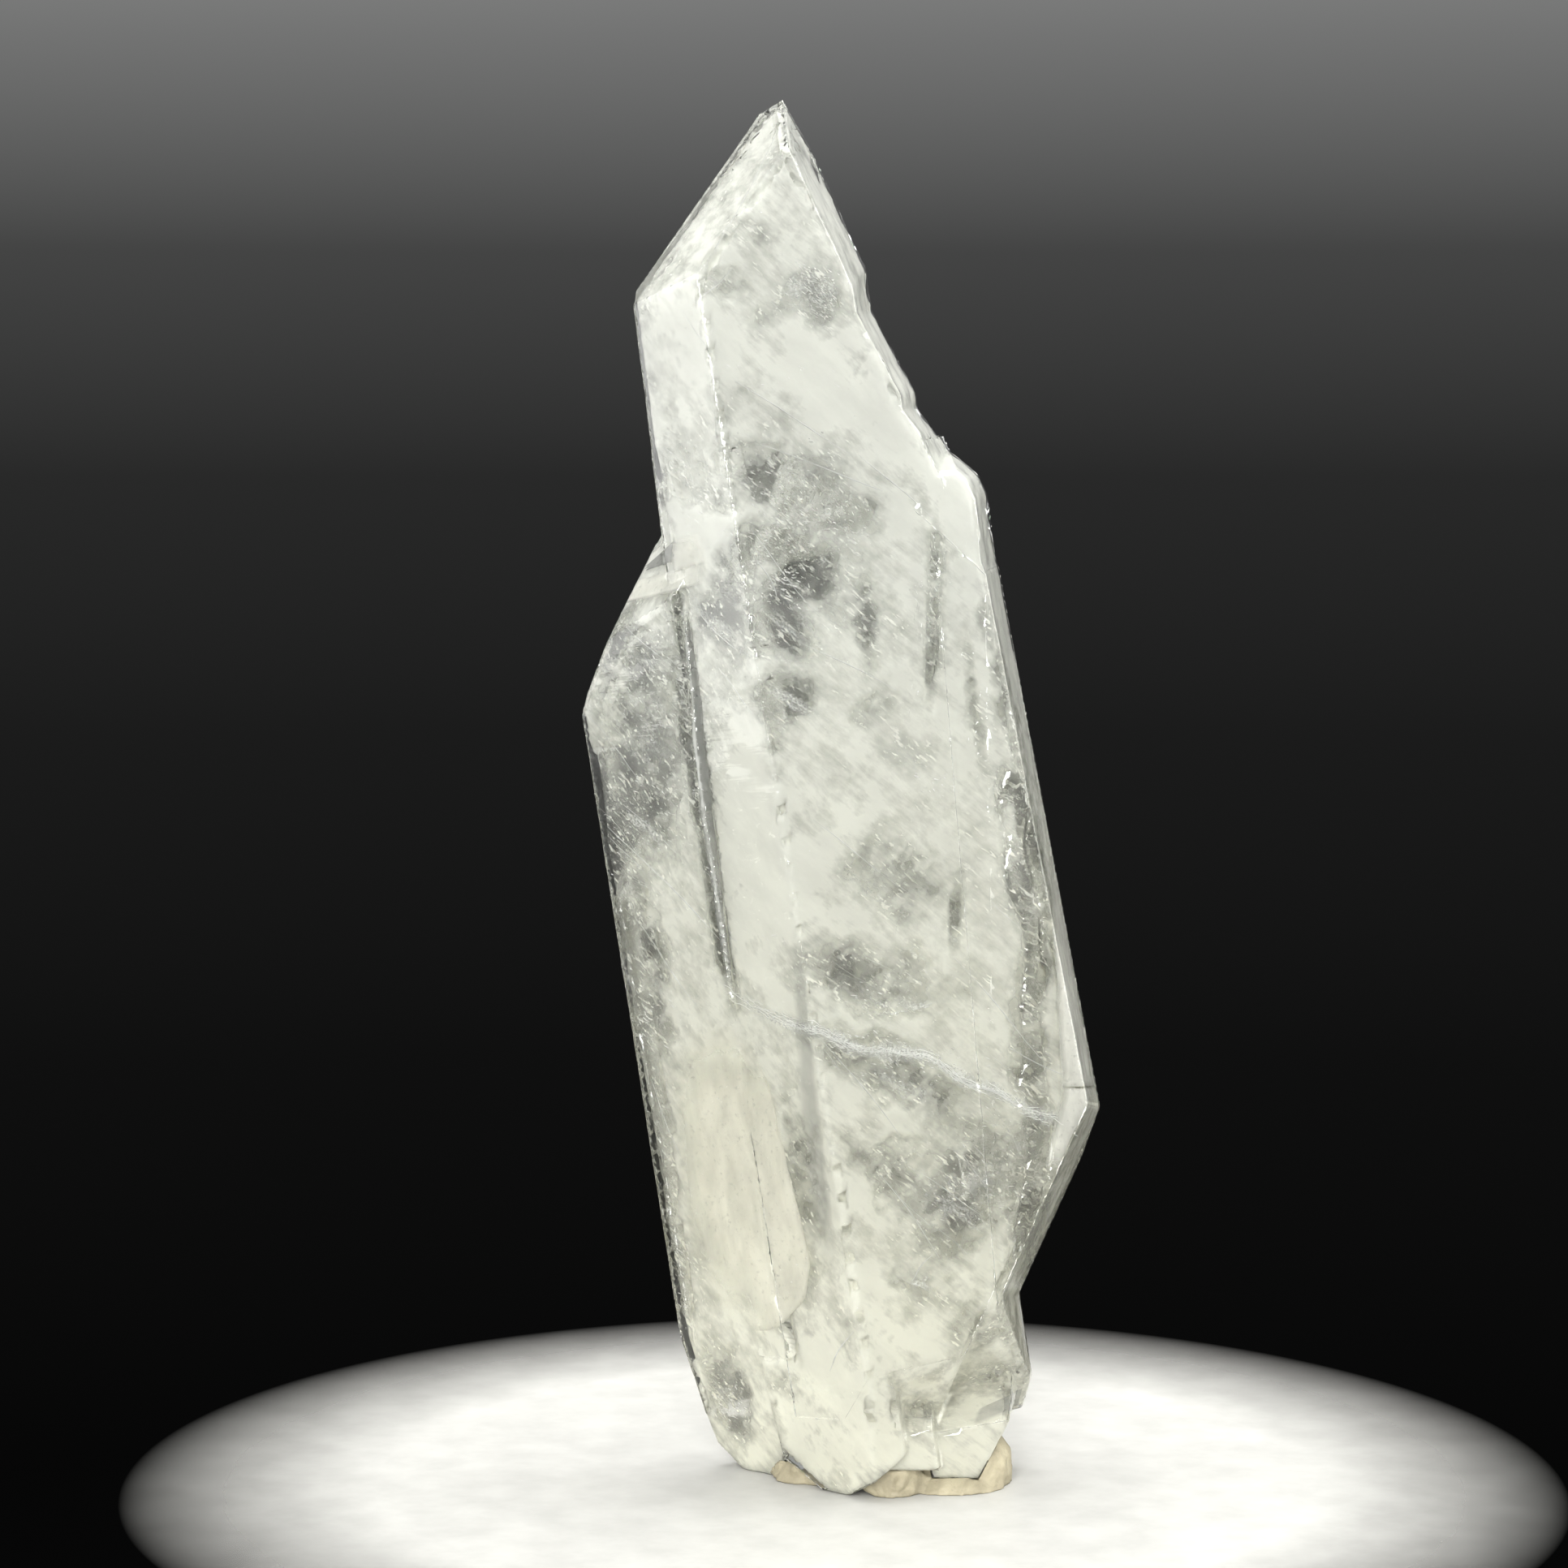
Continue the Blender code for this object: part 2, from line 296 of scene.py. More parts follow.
def putty_material():
    n = Nodes("tan_putty")
    n.give("Specular IOR Level", 0.35)
    where = n.place()
    tone = n.noise(where, 260.0, 5.0, 0.6, 0.5)
    grain = n.noise(where, 2600.0, 3.0, 0.6)
    # Darker brown blotches spread at random by noise, which also go into the bump.
    dark_blotch = n.noise(where, 900.0, 4.0, 0.7)
    base = n.mix(n.range(tone, 0.34, 0.64), (0.145, 0.126, 0.082, 1.0), (0.33, 0.296, 0.204, 1.0))
    base = n.mix(n.range(dark_blotch, 0.62, 0.78, 0.0, 0.6), base, (0.11, 0.088, 0.055, 1.0))
    n.give("Base Color", base)
    n.give("Roughness", n.range(grain, 0.3, 0.7, 0.55, 0.85))
    n.bump(n.math("ADD", grain, dark_blotch), 0.00012, 0.6)
    return n.material


def floor_material():
    """Pale where the part stands, falling away into shade."""
    n = Nodes("pale_floor")
    n.give("Roughness", 0.45)
    where = n.add("ShaderNodeTexCoord")
    length = n.add("ShaderNodeVectorMath", operation="LENGTH")
    n.tree.links.new(where.outputs["Object"], length.inputs[0])
    fade = n.range(length.outputs["Value"], 0.026, 0.04)
    grain = n.noise(where.outputs["Object"], 300.0, 5.0, 0.6)
    pale = n.mix(n.range(grain, 0.35, 0.65), (0.375, 0.372, 0.354, 1.0), (0.435, 0.432, 0.411, 1.0))
    n.give("Base Color", pale)
    n.give("Alpha", n.math("SUBTRACT", 1.0, fade))
    return n.material


def sight_line(px, py):
    """The direction in which the photograph's camera sees a pixel."""
    right = (px - PHOTO_SIDE / 2) / FOCAL
    up = (PHOTO_SIDE / 2 - py) / FOCAL
    ahead = Vector((0.0, math.cos(PITCH), -math.sin(PITCH)))
    above = Vector((0.0, math.sin(PITCH), math.cos(PITCH)))
    return (ahead + Vector((right, 0.0, 0.0)) + above * up).normalized()


def bent(ray, normal):
    """A ray's direction after it enters the quartz."""
    cos_in = -ray.dot(normal)
    ratio = 1.0 / QUARTZ_IOR
    cos_out = math.sqrt(max(0.0, 1.0 - ratio * ratio * (1.0 - cos_in * cos_in)))
    return (ray * ratio + normal * (ratio * cos_in - cos_out)).normalized()


SKIN_BODY = read_node("quartz_crystal")
SKIN_BODY.normal_update()
SKIN = BVHTree.FromBMesh(SKIN_BODY)


def under_skin(px, py, depth):
    """The place below the crystal's front, by depth in mm, that the photograph shows at a pixel."""
    ray = sight_line(px, py)
    where, normal, _, _ = SKIN.ray_cast(EYE * MM, ray)
    if where is None:
        return None
    inner = bent(ray, normal)
    far, _, _, room = SKIN.ray_cast(where + inner * 0.01 * MM, inner)
    reach = min(depth * MM, (room or 1.0) * 0.85)
    return where + inner * reach


PROBE_WAYS = ((0.37, 0.83, 0.42), (-0.71, 0.22, 0.53), (0.19, -0.64, -0.58))
PROBES = [Vector(way).normalized() for way in PROBE_WAYS]
MOST_CROSSINGS = 24


def crosses_odd(tree, place, probe):
    """Whether a line from a place crosses a surface an odd number of times."""
    crossings = 0
    start = place
    while crossings < MOST_CROSSINGS:
        where = tree.ray_cast(start, probe)[0]
        if where is None:
            break
        crossings += 1
        start = where + probe * 1e-6
    return crossings % 2 == 1


def is_within(tree, place):
    """Whether a place is inside a closed surface: two of three lines agree."""
    one, two = (crosses_odd(tree, place, probe) for probe in PROBES[:2])
    return one if one == two else crosses_odd(tree, place, PROBES[2])


def depth_inside(place):
    """How far a place is inside the crystal, in mm; below zero is outside."""
    distance = SKIN.find_nearest(place)[3]
    return distance / MM if is_within(SKIN, place) else -distance / MM


# Clear windows and cloudy bodies: middle pixel, half width and half height in pixels, slant, amount
CLEAR_PATCHES = [
    (905, 210, 50, 26, -50, 0.16), (872, 262, 60, 26, -52, 0.2), (835, 320, 40, 20, -50, 0.18),
    (925, 284, 44, 16, 22, 0.5), (900, 348, 26, 16, 20, 0.6), (1000, 350, 34, 34, 0, 0.5),
    (1015, 385, 22, 26, 0, 0.6), (950, 388, 20, 16, 20, 0.4), (860, 600, 44, 26, 20, 0.9),
    (826, 540, 18, 34, 0, 0.5), (945, 586, 34, 32, 18, 1.9), (1010, 615, 56, 34, 22, 1.3),
    (1024, 638, 20, 14, 0, 1.0), (1070, 640, 26, 22, 0, 0.7), (950, 668, 28, 26, 30, 1.9),
    (985, 705, 36, 16, 40, 1.3), (960, 755, 30, 40, 32, 1.7), (985, 790, 20, 22, 40, 0.9),
    (972, 862, 28, 26, 20, 1.6), (955, 915, 10, 40, -6, 0.7), (1068, 776, 12, 42, 0, 0.8),
    (1030, 720, 60, 30, 34, 0.7), (1074, 876, 26, 20, 0, 0.5), (1000, 690, 30, 18, 36, 0.7),
    (885, 762, 26, 34, 30, 1.4), (900, 690, 30, 30, 38, 0.9), (890, 830, 20, 40, 30, 0.6),
    (800, 880, 60, 100, 0, 1.1), (785, 985, 50, 80, 0, 1.05), (775, 800, 24, 30, -50, 0.8),
    (764, 1080, 30, 90, -8, 1.5), (790, 1180, 32, 60, -8, 1.5), (795, 1265, 30, 52, -8, 1.4),
    (812, 1380, 16, 80, -8, 1.4), (822, 1490, 15, 60, -8, 1.6), (836, 1570, 13, 50, -8, 1.3),
    (846, 820, 10, 70, -7, 2.4), (858, 950, 11, 90, -7, 2.6), (875, 1080, 10, 90, -7, 1.9),
    (893, 1180, 9, 50, -7, 1.6), (1151, 750, 9, 94, 2, 1.25), (1200, 870, 7, 62, -8, 0.75),
    (1095, 1085, 60, 40, 24, 0.75), (1080, 1205, 84, 34, 14, 0.95), (1178, 1126, 8, 36, 6, 1.1),
    (1040, 1190, 24, 30, 0, 0.6), (1098, 1316, 84, 28, 22, 0.95), (1110, 1448, 60, 30, 32, 0.75),
    (990, 1450, 18, 100, -7, 0.7), (1150, 1370, 40, 24, 30, 0.5), (1205, 1455, 50, 56, 0, 1.0),
    (1165, 1505, 40, 26, 20, 0.7), (1236, 980, 9, 30, 0, 1.5), (1262, 1010, 9, 46, -14, 1.4),
    (1254, 1080, 15, 44, -10, 1.3), (1272, 1110, 13, 54, -8, 1.1), (1274, 1200, 17, 50, 0, 1.15),
    (1266, 1290, 17, 56, 0, 1.15), (1282, 1380, 13, 60, -6, 0.95), (1264, 1440, 16, 64, 6, 1.1),
    (1266, 1520, 18, 44, 14, 1.1), (1240, 880, 8, 170, -13, 0.6), (1300, 1490, 12, 110, 28, 1.2),
    (1215, 1650, 22, 34, 0, 0.4), (1228, 1692, 18, 16, 0, 0.9), (1190, 1610, 24, 30, 30, 0.3),
    (905, 1725, 22, 50, -8, 1.3), (880, 1690, 12, 40, -8, 0.8), (848, 1700, 7, 40, -10, 1.4),
    (1135, 1560, 40, 34, 20, 0.5), (1120, 1600, 26, 26, 20, 0.4), (1040, 1640, 16, 44, -6, 0.5),
    (1134, 1736, 12, 12, 0, 0.8),
]
CLOUDY_PATCHES = [
    (885, 240, 70, 44, -50, 0.4), (1040, 480, 60, 60, 0, 0.3), (1040, 250, 16, 100, -18, 0.5),
    (1100, 440, 22, 120, -24, 0.6), (1190, 625, 40, 60, -10, 0.9), (850, 420, 40, 70, 0, 0.2),
    (860, 650, 40, 20, 0, 0.9), (1040, 480, 90, 46, 30, 0.3), (1000, 1110, 100, 60, 30, 0.4),
    (925, 1060, 40, 110, 0, 0.4), (1085, 1640, 60, 60, 0, 0.4), (1020, 1760, 60, 50, 0, 0.4),
    (1225, 760, 20, 70, -12, 0.4),
]


def spot_column(px, py, half_wide, half_high, slant, amount):
    """A patch as a column along the line of sight: entry, axis, two cross axes, two radii, amount."""
    ray = sight_line(px, py)
    where, normal, _, _ = SKIN.ray_cast(EYE * MM, ray)
    if where is None:
        return None
    axis = bent(ray, normal)
    turn = math.radians(slant)
    wide = Vector((math.cos(turn), 0.0, -math.sin(turn)))
    wide = (wide - axis * wide.dot(axis)).normalized()
    high = axis.cross(wide).normalized()
    return where, axis, wide, high, half_wide * PIXEL_MM, half_high * PIXEL_MM, amount


CLEAR_COLUMNS = [spot_column(*row[:5], -row[5]) for row in CLEAR_PATCHES]
CLOUDY_COLUMNS = [spot_column(*row) for row in CLOUDY_PATCHES]
COLUMNS = [column for column in CLEAR_COLUMNS + CLOUDY_COLUMNS if column]


def back_spots():
    """Clear and streaked places on the sides and back: centre in crystal mm, radii, amount."""
    draw = random.Random(77)
    spots = []
    for _ in range(34):
        centre = Vector((draw.uniform(-7.5, 16.5), draw.uniform(1.0, 7.0), draw.uniform(3.0, 70.0)))
        radii = (draw.uniform(1.0, 3.2), draw.uniform(0.9, 1.8), draw.uniform(0.8, 2.4))
        spots.append((centre, radii, draw.uniform(-1.3, -0.4)))
    return spots


BACK_SPOTS = back_spots()


def haze_at(place, base):
    """How milky the crystal is at a place in metres: below zero is clear, above one is solid white."""
    spot = place / MM
    sway = noise.noise_vector(spot * 0.42) * 0.75 + noise.noise_vector(spot * 1.1) * 0.5
    slanted = Vector((spot.x * 0.34 + spot.z * 0.27, spot.y * 0.4, (spot.z * 0.79 - spot.x * 0.61) * 0.9))
    fray = noise.noise(slanted * 1.5 + Vector((4, 1, 7))) + 0.7 * noise.noise(slanted * 4.0)
    value = base
    for entry, axis, wide, high, radius_wide, radius_high, amount in COLUMNS:
        rel = spot - entry / MM
        if abs(rel.dot(wide)) > radius_wide * 1.7 + 0.9 or abs(rel.dot(high)) > radius_high * 1.7 + 0.9:
            continue
        rel += sway * min(1.0, radius_wide * 0.7)
        span = (rel.dot(wide) / radius_wide) ** 2 + (rel.dot(high) / radius_high) ** 2
        if span < 2.4:
            deep = clamp((13.0 - rel.dot(axis)) / 4.0)
            inner = 1.0 - span / 2.4
            value += amount * deep * inner * (1.0 + 0.75 * fray)
    u, v, w = to_crystal(place)
    if v > -1.0:
        for centre, radii, amount in BACK_SPOTS:
            span = (((u - centre.x + sway.x) / radii[0]) ** 2 + ((v - centre.y) / radii[1]) ** 2
                    + ((w - centre.z + sway.z) / radii[2]) ** 2)
            if span < 2.0:
                value += amount * (1.0 - span / 2.0) * (1.0 + 0.75 * fray)
    value += 0.3 * noise.noise(slanted * 0.7) + 0.16 * noise.noise(slanted * 2.6)
    return max(-1.0, min(2.0, value))


def set_haze(thing, values):
    layer = thing.data.attributes.new("haze", "FLOAT", "POINT")
    layer.data.foreach_set("value", values)


def smooth_path(points, count):
    """Catmull-Rom points through a list of (x, y) or (x, y, z) tuples."""
    points = [Vector(p) if len(p) == 3 else Vector((p[0], p[1], 0.0)) for p in points]
    path = []
    last = len(points) - 1
    for k in range(count):
        t = k / (count - 1) * last
        i = min(int(t), last - 1)
        f = t - i
        p0, p1 = points[max(i - 1, 0)], points[i]
        p2, p3 = points[i + 1], points[min(i + 2, last)]
        path.append(0.5 * ((2 * p1) + (p2 - p0) * f + (2 * p0 - 5 * p1 + 4 * p2 - p3) * f * f
                           + (3 * p1 - p0 - 3 * p2 + p3) * f * f * f))
    return path


# Seams on the front: growth steps with a jagged course, in pixels, with depth and width in mm
SEAMS = [
    ([(1146, 652), (1156, 690), (1148, 735), (1158, 780), (1150, 840)], 0.08, 0.26),
    ([(1196, 790), (1206, 850), (1200, 905), (1210, 950)], 0.07, 0.22),
    ([(1240, 950), (1230, 985), (1242, 1030), (1236, 1080), (1256, 1130), (1262, 1180), (1256, 1240)],
     0.17, 0.34),
    ([(1256, 948), (1268, 990), (1262, 1040), (1274, 1090), (1282, 1150), (1276, 1210)], 0.14, 0.3),
    ([(1256, 1240), (1262, 1300), (1252, 1350), (1266, 1420), (1256, 1480), (1248, 1550)], 0.16, 0.32),
    ([(1280, 1250), (1290, 1330), (1296, 1400), (1290, 1450), (1276, 1510)], 0.16, 0.26),
    ([(842, 762), (852, 860), (858, 930), (868, 1010), (884, 1110), (901, 1222)], 0.3, 0.22),
]


SEAM_STEPS = 60


def seam_path(course):
    places = []
    for point in smooth_path(course, SEAM_STEPS):
        where = SKIN.ray_cast(EYE * MM, sight_line(point.x, point.y))[0]
        if where is not None:
            places.append(where)
    return places


def split_long_edges(body, limit, near_limit, is_near):
    for _ in range(10):
        long_edges = []
        for edge in body.edges:
            length = edge.calc_length()
            if length > limit or (length > near_limit and is_near(edge)):
                long_edges.append(edge)
        if not long_edges:
            break
        bmesh.ops.subdivide_edges(body, edges=long_edges, cuts=1)
        bmesh.ops.triangulate(body, faces=[f for f in body.faces if len(f.verts) > 3])


def crystal_shell():
    """The crystal's outside: worn crisp edges, low growth relief, seams, ledges on the tip's right side."""
    body = read_node("quartz_crystal")
    bmesh.ops.dissolve_limit(body, angle_limit=math.radians(0.3), verts=body.verts, edges=body.edges)
    bmesh.ops.triangulate(body, faces=body.faces)
    ridge = body.edges.layers.int.new("ridge")
    for edge in body.edges:
        edge[ridge] = int(edge.is_manifold and edge.is_convex and edge.calc_face_angle() > math.radians(20))
    seam_tree = KDTree(SEAM_STEPS * len(SEAMS))
    seam_rows = []
    for course, deep, wide in SEAMS:
        for place in seam_path(course):
            seam_tree.insert(place, len(seam_rows))
            seam_rows.append((deep, wide))
    seam_tree.balance()

    def is_near(edge):
        if edge[ridge] or any(link[ridge] for vert in edge.verts for link in vert.link_edges):
            return True
        return seam_tree.find((edge.verts[0].co + edge.verts[1].co) / 2)[2] < 0.6 * MM

    split_long_edges(body, 0.7 * MM, 0.26 * MM, is_near)
    body.normal_update()
    moves = []
    for vert in body.verts:
        spot = to_crystal(vert.co)
        on_ridge = any(edge[ridge] for edge in vert.link_edges)
        calm = 0.02 * (1.0 + noise.noise(spot * 0.45))
        hill = 0.03 * abs(noise.noise(Vector((spot.x * 0.7, spot.y * 0.7, spot.z * 1.6)) + Vector((9, 2, 5))))
        wear = 0.0
        if on_ridge:
            chip = max(0.0, noise.noise(spot * 1.3 + Vector((1, 6, 2))) - 0.25)
            wear = 0.04 + 0.02 * noise.noise(spot * 3.0) + 0.14 * chip
        ragged = clamp((spot.x - 8.4 - (73.0 - spot.z) * 0.2) / 1.2) if spot.z > 49.0 else 0.0
        ledge = noise.noise(Vector((spot.x * 0.4, spot.y * 0.7, spot.z * 0.8)) + Vector((3, 8, 1)))
        rough = ragged * (0.12 * max(0.0, ledge + 0.1) + 0.05 * abs(noise.noise(spot * 1.6)))
        foot = max(0.0, 1.0 - spot.z / 8.0) * 0.07 * abs(noise.noise(spot * 0.8 + Vector((4, 4, 4))))
        groove = 0.0
        if vert.normal.y < 0.2:
            _, index, away = seam_tree.find(vert.co)
            deep, wide = seam_rows[index]
            wide *= 0.7 + 0.6 * abs(noise.noise(spot * 1.9 + Vector((7, 7, 7))))
            if away < wide * MM:
                groove = deep * (1.0 - away / (wide * MM)) * (0.5 + abs(noise.noise(spot * 2.4)))
        moves.append(vert.normal * -(calm + hill + wear + rough + foot + groove) * MM)
    for vert, move in zip(body.verts, moves):
        vert.co += move
        vert.co.z = max(vert.co.z, 0.0)
    body.normal_update()
    tree = BVHTree.FromBMesh(body)
    shell = new_object(body, "crystal_shell")
    shell.data.set_sharp_from_angle(angle=math.radians(24))
    return shell, tree


def remeshed(node, voxel):
    """A node's solid as an even mesh, with its voxel in mm."""
    thing = new_object(read_node(node), node + "_even")
    step = thing.modifiers.new("even", "REMESH")
    step.mode = "VOXEL"
    step.voxel_size = voxel * MM
    fresh = bmesh.new()
    fresh.from_object(thing, bpy.context.evaluated_depsgraph_get())
    bpy.data.objects.remove(thing, do_unlink=True)
    return fresh


def smooth_once(body, verts):
    bmesh.ops.smooth_vert(body, verts=verts, factor=0.5, use_axis_x=True, use_axis_y=True, use_axis_z=True)


# Heights in mm where the thin foot ends and where the sharp tip begins, and the cores' gap to the box
FOOT_TOP = 6.0
TIP_START = 71.5
BOX_GAP = 0.05


def milky_core(name, depth, swing, base, voxel, seed, close, hugs):
    """A milky body inside the shell, close under it where solid, deeper where the quartz is clear."""
    body = remeshed("quartz_crystal", voxel)
    above = [vert for vert in body.verts if FOOT_TOP * MM < vert.co.z < TIP_START * MM]
    smooth_once(body, above)
    body.normal_update()
    tree = BVHTree.FromBMesh(body)
    values = []
    moves = []
    for vert in body.verts:
        inward = -vert.normal
        hit = tree.ray_cast(vert.co + inward * 0.02 * MM, inward)
        room = hit[3] if hit[0] is not None else 1.0 * MM
        spot = to_crystal(vert.co)
        wave = noise.noise(spot * 0.22 + Vector((seed, 0, 0)))
        wave += 0.4 * noise.noise(spot * 0.8 + Vector((0, seed, 0)))
        low = max(0.0, 1.0 - spot.z / 5.0)
        deep = (depth + swing * (0.5 + 0.5 * wave)) * (1.0 - 0.85 * low) * MM
        moves.append(inward * min(deep, room * 0.36))
    for vert, move in zip(body.verts, moves):
        vert.co += move
    for _ in range(3):
        smooth_once(body, above)
    body.normal_update()
    for vert in body.verts:
        value = haze_at(vert.co, base)
        values.append(value)
        near, normal, _, away = SHELL_TREE.find_nearest(vert.co)
        least = close * (0.15 if vert.co.z < FOOT_TOP * MM else 1.0) * MM
        if not is_within(SHELL_TREE, vert.co):
            pulled = near + ((near - vert.co).normalized() if away > 1e-7 else -normal) * least
            vert.co = pulled if is_within(SHELL_TREE, pulled) else near - normal * 0.02 * MM
            continue
        reach = least + (1.0 - clamp(value * 1.6)) * away if hugs else away
        moved = vert.co + vert.normal * (away - max(least, min(away, reach)))
        if is_within(SHELL_TREE, moved):
            vert.co = moved
    low_corner, high_corner = (Vector(corner) for corner in CAD_BOX)
    for vert in body.verts:
        for k in range(3):
            highest = high_corner[k] - BOX_GAP * MM
            vert.co[k] = max(low_corner[k] + BOX_GAP * MM, min(highest, vert.co[k]))
    core = new_object(body, name)
    set_haze(core, values)
    return core


SHEET_GAP = 0.3


def hand_sheet(body, layer, centre, along, across, half_long, half_wide, step, wave, seed, strength):
    """A thin wavy film inside the crystal, clear of its skin, fading out at its own ragged border."""
    normal = along.cross(across).normalized()
    rows = max(2, int(2 * half_long / step))
    cols = max(2, int(2 * half_wide / step))
    grid = {}
    shift = Vector((seed * 1.7, seed * 0.9, seed * 2.3))
    for i in range(rows + 1):
        for j in range(cols + 1):
            a = (i / rows * 2 - 1) * half_long
            b = (j / cols * 2 - 1) * half_wide
            bump = wave * noise.noise(Vector((a * 0.28, b * 0.28, 0.0)) + shift)
            bump += wave * 0.35 * noise.noise(Vector((a * 1.1, b * 1.1, 0.0)) + shift)
            place = centre + (along * a + across * b + normal * bump) * MM
            inside = depth_inside(place)
            if inside < SHEET_GAP:
                continue
            ragged = 0.3 * noise.noise(Vector((a * 0.6, b * 0.6, 5.0)) + shift)
            edge = 1.0 - math.sqrt((a / half_long) ** 2 + (b / half_wide) ** 2) + ragged
            if edge < -0.05:
                continue
            vert = body.verts.new(place)
            vert[layer] = strength * clamp(edge * 2.2) * min(1.0, (inside - SHEET_GAP) / 0.25)
            grid[i, j] = vert
    for i in range(rows):
        for j in range(cols):
            corners = [grid.get(key) for key in ((i, j), (i + 1, j), (i + 1, j + 1), (i, j + 1))]
            if all(corners):
                body.faces.new(corners)


def tube(body, places, radii, sides):
    """A closed thread through the places, with a radius in mm at each."""
    rings = []
    count = len(places)
    for k, place in enumerate(places):
        ahead = (places[min(k + 1, count - 1)] - places[max(k - 1, 0)]).normalized()
        side = ahead.cross(V_AXIS).normalized()
        up = side.cross(ahead).normalized()
        ring = []
        for s in range(sides):
            turn = 2 * math.pi * s / sides
            ring.append(body.verts.new(place + (side * math.cos(turn) + up * math.sin(turn)) * radii[k] * MM))
        rings.append(ring)
    for one, two in zip(rings, rings[1:]):
        for s in range(sides):
            body.faces.new((one[s], one[(s + 1) % sides], two[(s + 1) % sides], two[s]))
    body.faces.new(list(reversed(rings[0])))
    body.faces.new(rings[-1])


# Healed cracks that slant down to the right: pixel of the middle, depth, slant, half length,
# half width, strength
MAIN_VEILS = [
    (985, 500, 1.2, 36, 6.0, 1.6, 0.9),
    (1010, 560, 1.8, 30, 4.0, 1.3, 0.9),
    (960, 630, 1.0, 24, 2.6, 0.9, 1.0),
    (930, 400, 1.4, 33, 3.2, 1.6, 0.7),
    (1000, 350, 1.0, 28, 2.2, 1.6, 0.9),
    (900, 780, 1.5, 38, 3.6, 1.6, 0.8),
    (1000, 780, 1.8, 42, 4.4, 1.4, 0.9),
    (985, 870, 1.2, 36, 2.8, 1.0, 0.9),
    (1080, 900, 1.6, 34, 4.6, 1.6, 0.8),
    (1140, 960, 1.0, 28, 3.0, 1.0, 1.0),
    (1040, 1080, 1.8, 40, 5.2, 1.8, 0.7),
    (1160, 1160, 1.4, 38, 4.2, 1.6, 0.8),
    (1090, 1230, 1.2, 24, 4.6, 1.2, 0.9),
    (1210, 1330, 1.0, 34, 5.2, 1.2, 1.0),
    (1110, 1340, 1.8, 36, 4.2, 1.8, 0.7),
    (1150, 1460, 1.6, 40, 4.4, 1.8, 0.8),
    (1100, 1560, 1.4, 38, 3.6, 1.6, 0.8),
    (800, 900, 0.9, 42, 3.0, 1.4, 0.8),
    (790, 1030, 0.9, 42, 3.4, 1.2, 0.9),
    (830, 1120, 1.0, 40, 3.6, 1.0, 1.0),
    (830, 1230, 1.0, 44, 2.6, 1.4, 0.7),
    (860, 690, 1.0, 30, 2.2, 1.0, 0.9),
    (850, 560, 1.2, 34, 2.4, 1.2, 0.7),
    (870, 1650, 1.0, 40, 2.6, 1.4, 0.6),
]


def sheet_ways(draw, slant, sway, least_dip, most_dip):
    """The two directions of a healed crack that slants down to the right, in degrees."""
    turn = math.radians(slant)
    along = U_AXIS * math.cos(turn) - W_AXIS * math.sin(turn) + V_AXIS * draw.uniform(-sway, sway)
    along.normalize()
    dip = math.radians(draw.uniform(least_dip, most_dip))
    level = along.cross(V_AXIS).normalized()
    return along, (V_AXIS * math.cos(dip) + level * math.sin(dip)).normalized()


def veils():
    """The healed cracks of the front, and some more all through the crystal."""
    body = bmesh.new()
    layer = body.verts.layers.float.new("haze")
    draw = random.Random(11)
    for k, (px, py, depth, slant, half_long, half_wide, strength) in enumerate(MAIN_VEILS):
        centre = under_skin(px, py, depth)
        along, across = sheet_ways(draw, slant, 0.15, 25, 60)
        hand_sheet(body, layer, centre, along, across, half_long, half_wide, 0.22, 0.6, k, strength)
    for k in range(34):
        w = draw.uniform(3.0, 66.0)
        u = draw.uniform(-5.0, 15.0)
        centre = from_crystal(u, draw.uniform(-4.5, 5.0), w)
        along, across = sheet_ways(draw, draw.uniform(26, 48), 0.2, 15, 70)
        hand_sheet(body, layer, centre, along, across, draw.uniform(1.5, 4.5), draw.uniform(0.8, 2.0), 0.25,
                   0.6, 40 + k, draw.uniform(0.3, 0.7))
    return new_object(body, "healed_veils")


# The thread's course across the front, left to right, in pixels
THREAD_COURSE = [
    (893, 1222), (930, 1240), (975, 1262), (1012, 1272), (1050, 1290), (1100, 1296), (1145, 1303),
    (1185, 1330), (1230, 1346), (1262, 1366), (1300, 1378), (1332, 1392),
]


def thread_places():
    path = [under_skin(p.x, p.y, 0.14) for p in smooth_path(THREAD_COURSE, 150)]
    return [p for p in path if p is not None]


def faden_thread():
    """The faden: a bundle of fine broken strands that wind round each other."""
    body = bmesh.new()
    draw = random.Random(5)
    path = thread_places()
    for strand in range(64):
        phase = draw.uniform(0, 6.28)
        core = strand < 10
        start = draw.randrange(0, 90) if core else draw.randrange(0, len(path) - 12)
        stop = min(len(path), start + (draw.randrange(30, 90) if core else draw.randrange(5, 16)))
        spread = 0.12 if core else draw.uniform(0.1, 0.5)
        places, radii = [], []
        for k in range(start, stop):
            swing = spread * math.sin(k * 0.12 + phase)
            swing += 0.22 * waves(k * 0.13, strand * 3.1, 0.0)
            swing += 0.1 * waves(k * 0.6, strand * 2.1, 4.0)
            sink = 0.05 * math.cos(k * 0.12 + phase)
            sink += 0.05 * waves(k * 0.2, strand * 1.7, 9.0)
            places.append(path[k] + (W_AXIS * swing + V_AXIS * (sink + 0.02)) * MM)
            swell = waves(k * 0.3, strand * 5.0, 3.0)
            ends = min(1.0, 6 * (k - start) / (stop - start), 6 * (stop - 1 - k) / (stop - start))
            radii.append(0.006 + 0.024 * ends * max(0.1, 0.5 + swell))
        tube(body, places, radii, 6)
    return new_object(body, "faden_thread")


